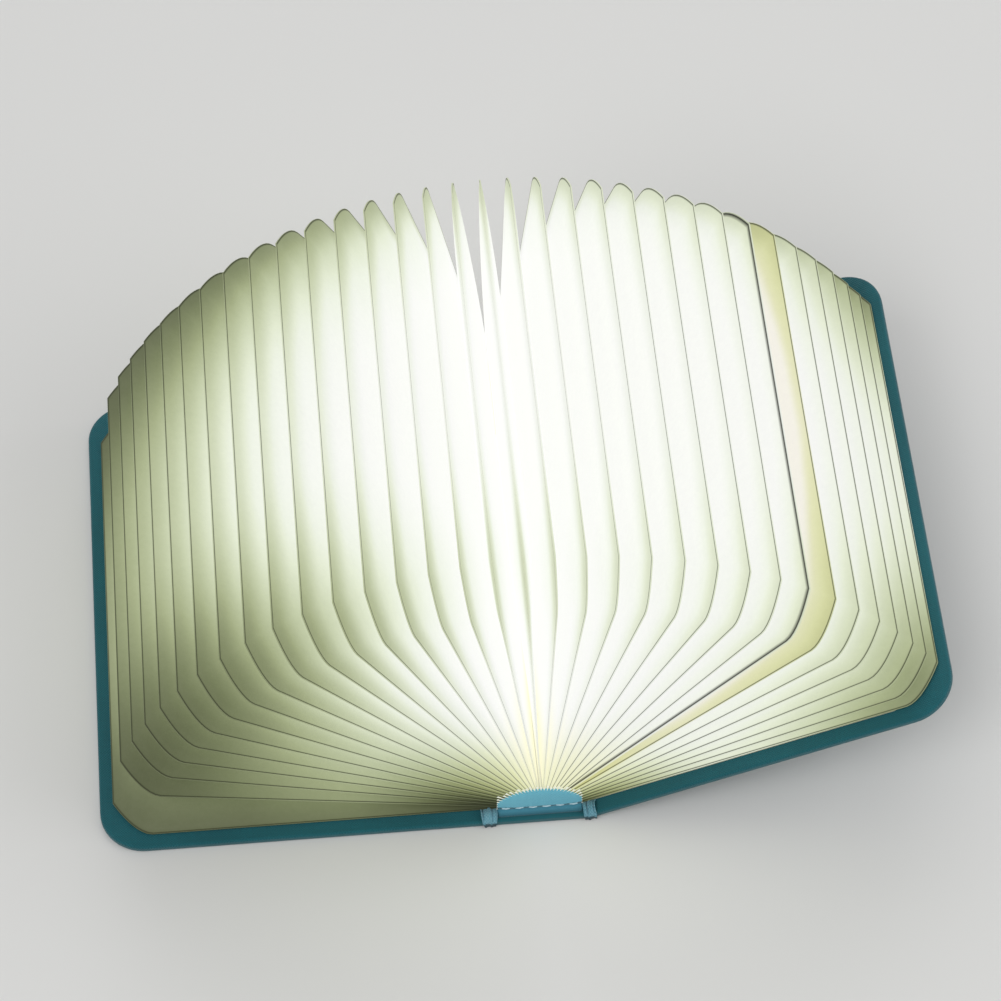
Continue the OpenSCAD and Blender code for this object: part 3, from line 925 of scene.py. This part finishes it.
def cover_wrap(name):
    """Cloth round a cover's board, lying flat: under it, up its edges and turned in on top."""
    x0, x1 = JOINT_OUT, HINGE_X + COVER_W
    wrap = begin(name, bpy.ops.mesh.primitive_plane_add, size=2)
    edit(wrap)
    pick_all()
    stretch((x1 - x0) / 2, CASE_H / 2)
    move(x=(x0 + x1) / 2)
    pick(wrap, "verts", lambda v: v.co.x > x0 + MM)
    round_off("VERTICES", COVER_R, COVER_ARC)
    pick_all()
    bpy.ops.mesh.extrude_region_move()
    move(z=TURNED_T)
    pick(wrap, "faces", lambda f: all(v.co.z > TURNED_T / 2 for v in f.verts))
    bpy.ops.mesh.inset(thickness=TURN_IN)
    bpy.ops.mesh.delete(type="FACE")
    # along the joint the cloth is open, and isn't turned in
    pick(wrap, "faces", lambda f: middle(f).x < x0 + NEAR or (middle(f).z > TURNED_T - NEAR and
         middle(f).x < x0 + TURN_IN / 2 + 0.1 * MM and abs(middle(f).y) < MM))
    bpy.ops.mesh.delete(type="FACE")
    pick(wrap, "verts", lambda v: abs(v.co.x - x0 - TURN_IN) < NEAR and v.co.z > TURNED_T / 2 and
         abs(v.co.y) > CASE_H / 2 - TURN_IN - NEAR)
    move(x=-TURN_IN)
    look_towards(wrap, (0, 0, -1), lambda f: middle(f).z < MM)
    pick(wrap, "edges", lambda e: len(e.link_faces) == 2 and e.calc_face_angle(0) > 1 and
         abs(e.verts[0].co.z - e.verts[1].co.z) < NEAR)
    round_off("EDGES", 0.6 * MM, 5)
    pleat(wrap, x1 - COVER_R, CASE_H / 2 - COVER_R)
    done()
    finish_with(wrap, "SOLIDIFY", thickness=CLOTH_T, offset=-1.0)
    lay_weave(wrap)
    return wrap


def pleat(wrap, corner_x, corner_y):
    """Lifts the turned-in cloth a little in pleats round each corner."""
    def on_pleat(v):
        x, y = v.co.x - corner_x, abs(v.co.y) - corner_y
        if v.co.z < TURNED_T - NEAR or min(x, y) < 0.5 * MM:
            return False
        return round(math.atan2(y, x) / (math.pi / 2) * COVER_ARC) % 3 == 1

    pick(wrap, "verts", on_pleat)
    move(z=0.12 * MM)


def covers(finishes):
    for piece, side in on_both_covers(cover_wrap("right_cover_wrap"), "left_cover_wrap"):
        wear(piece, finishes["cover_cloth"])
        smooth(piece)
        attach(piece, f"{side}_cover")
        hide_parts(f"{side}_cover_cloth")


def endpapers(finishes):
    """Paper pasted inside each cover, its corners cut back behind the leaves' corners."""
    x0, x1 = HINGE_X + GROOVE_W, HINGE_X + COVER_W - ENDPAPER_SQUARE
    flat = begin("right_endpaper_sheet", bpy.ops.mesh.primitive_plane_add, size=2)
    edit(flat)
    pick_all()
    stretch((x1 - x0) / 2, CASE_H / 2 - ENDPAPER_SQUARE)
    move(x=(x0 + x1) / 2, z=TURNED_T)
    pick(flat, "verts", lambda v: v.co.x > x1 - MM)
    round_off("VERTICES", ENDPAPER_CORNER, 10, profile=0.38)
    done()
    finish_with(flat, "SOLIDIFY", thickness=ENDPAPER_T, offset=1.0)
    ease_edges(flat, 0.06 * MM, 2)
    for piece, side in on_both_covers(flat, "left_endpaper_sheet"):
        wear(piece, finishes["endpaper"])
        smooth(piece)
        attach(piece, f"{side}_cover")
        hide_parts(f"{side}_endpaper")


def spine_wrap(finishes):
    """Cloth under the spine board, rolled up over its two ends and turned in on top."""
    wrap = begin("spine_wrap", bpy.ops.mesh.primitive_grid_add, x_subdivisions=26, y_subdivisions=2, size=2)
    edit(wrap)
    pick_all()
    stretch(JOINT_IN, CASE_H / 2)
    for end in (-1, 1):
        pick(wrap, "edges", lambda e: all(v.co.y * end > CASE_H / 2 - NEAR for v in e.verts))
        bpy.ops.mesh.extrude_edges_move()
        move(z=TURNED_T)
        bpy.ops.mesh.extrude_edges_move()
        move(y=-end * SPINE_FLAP)
        pick(wrap, "edges", lambda e: all(v.co.y * end > CASE_H / 2 - NEAR for v in e.verts) and
             abs(e.verts[0].co.z - e.verts[1].co.z) < NEAR)
        round_off("EDGES", 0.5 * MM, 6)
        # the roll isn't quite even
        pick(wrap, "verts", lambda v: v.co.y * end > CASE_H / 2 - 0.45 * MM and v.co.z > 0.4 * MM and
             round(v.co.x / (0.8 * MM)) % 5 in (1, 2))
        move(y=end * 0.05 * MM, z=0.04 * MM)
    look_towards(wrap, (0, 0, -1), lambda f: middle(f).z < 0.1 * MM)
    done()
    finish_with(wrap, "SOLIDIFY", thickness=CLOTH_T, offset=-1.0)
    lay_weave(wrap)
    wear(wrap, finishes["cover_cloth"])
    smooth(wrap, 50)
    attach(wrap, "spine")
    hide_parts("spine_cloth")


# each row of a gather: its distance from the case's middle, its height and how far it is drawn together
GATHER_ROWS = ((57.6, 2.0, 1.0), (58.4, 2.6, 1.0), (59.3, 2.9, 1.0), (60.1, 2.8, 0.98), (60.6, 2.45, 0.95),
               (60.9, 2.0, 0.9), (61.05, 1.5, 0.84), (61.1, 1.05, 0.76), (61.1, 0.6, 0.68), (61.0, 0.2, 0.62))
STRIP_ROWS, STRIP_COLUMNS = 30, 16
STRIP_SPAN = JOINT_OUT - JOINT_IN
GATHER_Y = 59 * MM
GATHER_SPREAD = 1.1 * MM
GROOVE_RISE = 0.85 * MM


def draw_together(part, row, at):
    """Brings a gather over the boards' corners and down their ends to the table, towards the spine."""
    stretch(x=1 + GATHER_SPREAD / STRIP_SPAN, centre=(JOINT_IN + STRIP_SPAN / 2, 0, 0))
    for k, (out, height, pinch) in enumerate(GATHER_ROWS):
        pick(part, "verts", lambda v: row[v.index] == k)
        here = abs(middle_of_picked(part).y)
        move(y=math.copysign(out * MM - here, at), z=height * MM)
        stretch(x=pinch, centre=(JOINT_IN + 0.3 * STRIP_SPAN, 0, 0))


def pucker(part, column, k, at):
    """Wrinkles column k of a gather: up and down on top, in and out over the boards' ends."""
    t = k / STRIP_COLUMNS
    wrinkle = (0.30 * math.cos(3.4 * math.pi * t + 0.5) + 0.20 * math.cos(7.3 * math.pi * t + 1.9)) * MM
    pick(part, "verts", lambda v: column[v.index] == k and v.co.z > 1.9 * MM)
    move(z=wrinkle)
    pick(part, "verts", lambda v: column[v.index] == k and 0.1 * MM < v.co.z < 1.9 * MM)
    move(y=math.copysign(0.6 * wrinkle, at), x=0.25 * MM * math.sin(9 * t))


def joint_part(name, raise_by, at, finishes):
    """The plain middle of a joint's cloth, or the gather that lies at a place on the Y axis."""
    rows = len(GATHER_ROWS) - 1 if at else STRIP_ROWS
    part = begin(name, bpy.ops.mesh.primitive_grid_add, x_subdivisions=STRIP_COLUMNS, y_subdivisions=rows,
                 size=2)
    column = [round((v.co.x + 1) / 2 * STRIP_COLUMNS) for v in part.data.vertices]
    row = [round((1 + math.copysign(1, at) * v.co.y) / 2 * rows) for v in part.data.vertices]
    edit(part)
    pick_all()
    stretch(STRIP_SPAN / 2, 1.5 * MM if at else CASE_H / 2 - 0.2 * MM)
    move(x=JOINT_IN + STRIP_SPAN / 2, y=at)
    if at:
        draw_together(part, row, at)
    for k in range(STRIP_COLUMNS + 1):
        t = k / STRIP_COLUMNS
        if at:
            pucker(part, column, k, at)
        pick(part, "verts", lambda v: column[v.index] == k)
        if not at:
            move(z=GROOVE_RISE * math.sin(math.pi * t) ** 1.5)
        turn(-raise_by * t * t * (3 - 2 * t), "Y", (HINGE_X, 0, HINGE_Z))
    done()
    finish_with(part, "SOLIDIFY", thickness=CLOTH_T if at else 0.3 * MM, offset=1.0)
    lay_weave(part)
    wear(part, finishes["gather_cloth" if at else "cover_cloth"])
    return part


def joint_strip(side, finishes):
    """Cloth that crosses a hinge line in a shallow groove, its ends gathered over the boards' corners."""
    raise_by = RIGHT_RAISE if side == "right" else 0
    strip = join([joint_part(f"{side}_joint_{k}", raise_by, at, finishes)
                  for k, at in enumerate((0, -GATHER_Y, GATHER_Y))], f"{side}_joint_strip")
    start, end = Vector((JOINT_IN, 0, HINGE_Z)), raised(raise_by) @ Vector((JOINT_OUT, 0, HINGE_Z))
    if side == "left":
        place(strip, MIRRORED)
        start.x, end.x = -start.x, -end.x
    outward(strip)
    smooth(strip, 60)
    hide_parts(f"{side}_joint_cloth")
    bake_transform(strip, "spine", f"{side}_cover", start, end)


def tab_top(x):
    """Height of an end tab above its foot. It stands in front of the leaves' ends and hides their roots."""
    return TAB_EDGE_H + TAB_ARCH_H * (1 - (x / TAB_ARCH_W) ** 2) ** 0.55


def end_tab(name):
    """Half-moon of cloth-covered card that closes an end of the spine, with a foot sewn down outside it."""
    columns, half = 30, TAB_W / 2
    tab = begin(name, bpy.ops.mesh.primitive_grid_add, x_subdivisions=columns, y_subdivisions=7, size=2)
    column = [round((v.co.x + 1) / 2 * columns) for v in tab.data.vertices]
    edit(tab)
    pick_all()
    stretch(half, 0.5 * MM)
    turn(math.pi / 2, "X", (0, 0, 0))
    move(z=0.5 * MM)
    for k in range(columns + 1):
        pick(tab, "verts", lambda v: column[v.index] == k)
        stretch(z=tab_top(half * (2 * k / columns - 1)) / MM)
    # padded a little in its middle, each step set in by a margin
    for margin, push in ((0.5, 0.12), (1.3, 0.10), (2.4, 0.06)):
        pick(tab, "verts", lambda v: v.co.z > 0.3 * margin * MM and abs(v.co.x) < half - 1.5 * margin * MM and
             v.co.z < tab_top(v.co.x) - 0.55 * margin * MM)
        move(y=-push * MM)
    pick(tab, "edges", lambda e: all(v.co.z < NEAR for v in e.verts))
    bpy.ops.mesh.extrude_edges_move()
    move(y=-TAB_FOOT)
    pick(tab, "edges", lambda e: all(v.co.z < NEAR and abs(v.co.y) < NEAR for v in e.verts))
    round_off("EDGES", 0.45 * MM, 5)
    look_towards(tab, (0, -1, 0))
    done()
    finish_with(tab, "SOLIDIFY", thickness=TAB_T, offset=-1.0)
    ease_edges(tab, 0.11 * MM, 3)
    place(tab, Matrix.Translation((0, -LEAF_H / 2 - TAB_GAP, TAB_Z)))
    return tab


def open_head(head):
    """Cuts the charging socket's slot and the indicator's hole in the head tab."""
    slot = begin("slot_cutter", bpy.ops.mesh.primitive_cube_add, size=2)
    edit(slot)
    pick_all()
    stretch(SLOT_W / 2, 2 * MM, SLOT_H / 2)
    move(y=LEAF_H / 2, z=SLOT_Z)
    pick(slot, "edges", lambda e: abs(e.verts[0].co.y - e.verts[1].co.y) > MM)
    round_off("EDGES", 0.5 * MM, 3)
    done()
    hole = begin("hole_cutter", bpy.ops.mesh.primitive_cylinder_add, vertices=24, radius=HOLE_R, depth=4 * MM)
    edit(hole)
    pick_all()
    turn(math.pi / 2, "X", (0, 0, 0))
    move(x=HOLE_X, y=LEAF_H / 2, z=HOLE_Z)
    done()
    for cutter in (slot, hole):
        finish_with(head, "BOOLEAN", object=cutter, operation="DIFFERENCE", solver="EXACT")
        bpy.data.objects.remove(cutter)


def make_stitch():
    """One stitch, drawn out along the X axis, its two ends sunk into the cloth."""
    stitch = begin("stitch", bpy.ops.mesh.primitive_uv_sphere_add, segments=10, ring_count=6, radius=STITCH_R)
    edit(stitch)
    pick_all()
    turn(math.pi / 2, "Y", (0, 0, 0))
    for end in (-1, 1):
        pick(stitch, "verts", lambda v: v.co.x * end > NEAR)
        move(x=end * 0.78 * MM)
        pick(stitch, "verts", lambda v: v.co.x * end > 0.84 * MM)
        move(y=0.12 * MM)
    done()
    return stitch


def stitches(stitch, where, facing, finishes):
    """A row of stitches along an end tab's foot, a little bowed and each leaning its own way."""
    last = len(STITCH_LEANS) - 1
    row = []
    for k, lean in enumerate(STITCH_LEANS):
        bowed = 0.02 * MM * abs(2 * k - last)
        spot = ((k - last / 2) * STITCH_PITCH, bowed - LEAF_H / 2 - SEAM_GAP, SEAM_Z)
        row.append(twin(stitch, f"stitch_{where}_{k}"))
        place(row[-1], facing @ Matrix.Translation(spot) @ Matrix.Rotation(math.radians(lean), 4, "Y"))
    row = join(row, f"{where}_stitches")
    wear(row, finishes["thread"])
    smooth(row, 60)
    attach(row, "spine")


def end_tabs(finishes):
    tail = end_tab("tail_tab")
    head = twin(tail, "head_tab")
    turned_round = Matrix.Rotation(math.pi, 4, "Z")
    place(head, turned_round)
    open_head(head)
    stitch = make_stitch()
    for tab, where, facing in ((tail, "tail", Matrix()), (head, "head", turned_round)):
        lay_weave(tab)
        wear(tab, finishes["tab_cloth"])
        smooth(tab, 40)
        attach(tab, "spine")
        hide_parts(f"spine_tab_{where}")
        stitches(stitch, where, facing, finishes)
    bpy.data.objects.remove(stitch)


FOLD_R = 0.30 * MM
FOLD_L = 1.5 * MM
FOLD_GAP = 0.62 * MM
# half the room between the covers when the lamp is closed
CLOSED_ROOM = 9.6 * MM


def make_fold():
    """One root fold: a thin wedge that runs to a point along the X axis."""
    fold = begin("root_fold", bpy.ops.mesh.primitive_cone_add, vertices=4, radius1=FOLD_R, radius2=0.02 * MM,
                 depth=FOLD_L)
    edit(fold)
    pick_all()
    turn(math.pi / 2, "Y", (0, 0, 0))
    move(x=-0.55 * MM)
    stretch(y=0.22, x=-1)
    pick(fold, "edges", lambda e: abs(e.verts[0].co.x - e.verts[1].co.x) > 0.5 * MM)
    round_off("EDGES", 0.02 * MM, 2)
    done()
    outward(fold)
    return fold


def over_rim(i):
    """Where leaf i comes out from behind an end tab's rim."""
    along, spot = 0.0, root_of(i)
    while abs(spot.x) < TAB_W / 2 - 0.1 * MM and spot.z < TAB_Z + tab_top(spot.x):
        along += 0.05 * MM
        spot = root_of(i) + ray_of(i) * along
    return spot


def root_folds(finishes):
    """White ends of the leaves' root folds, drawn down over each end tab's rim."""
    fold = make_fold()
    for end, where in ((-1, "tail"), (1, "head")):
        row = []
        for i in range(1, LEAF_N - 1):
            spot, ray = over_rim(i), ray_of(i)
            wanted = 0.95 + 0.5 * abs(ray.x) + 0.3 * math.sin(2.4 * i)
            room = CLOSED_ROOM - abs(spot.x) - FOLD_R * abs(ray.z)
            length = max(0.05, min(wanted, room / (1.3 * MM * max(abs(ray.x), 0.05))))
            turned = Matrix.Rotation(-angle_of(i), 4, "Y") @ Matrix.Diagonal((length, 1, 1, 1))
            row.append(twin(fold, f"fold_{where}_{i}"))
            place(row[-1], Matrix.Translation((spot.x, end * (LEAF_H / 2 + FOLD_GAP), spot.z)) @ turned)
        row = join(row, f"{where}_root_folds")
        wear(row, finishes["root_paper"])
        smooth(row, 40)
        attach(row, "spine")
    bpy.data.objects.remove(fold)


CAD_FINISHES = {
    "spine_board": "grey_board", "light_tray": "tray_plastic", "led_board": "led_board",
    "led_chips": "led_chips", "led_board_screws": "screw_steel", "diffuser": "diffuser",
    "battery": "battery", "battery_leads": "wire", "led_leads": "wire", "charge_board": "charge_board",
    "charge_socket": "steel", "charge_indicator": "indicator", "switch_sensor": "black_plastic",
    "left_cover_board": "grey_board", "right_cover_board": "grey_board",
    "left_magnets": "nickel", "right_magnets": "nickel"}


def finish_cad(finishes):
    """Gives each CAD node that stays its own finish."""
    for node, kind in CAD_FINISHES.items():
        for slot in frame["nodes"][node].material_slots:
            slot.material = finishes[kind]


add_camera()
add_floor()
add_lights()
finishes = make_finishes()
leaves(finishes)
covers(finishes)
endpapers(finishes)
spine_wrap(finishes)
for side in ("left", "right"):
    joint_strip(side, finishes)
end_tabs(finishes)
root_folds(finishes)
finish_cad(finishes)
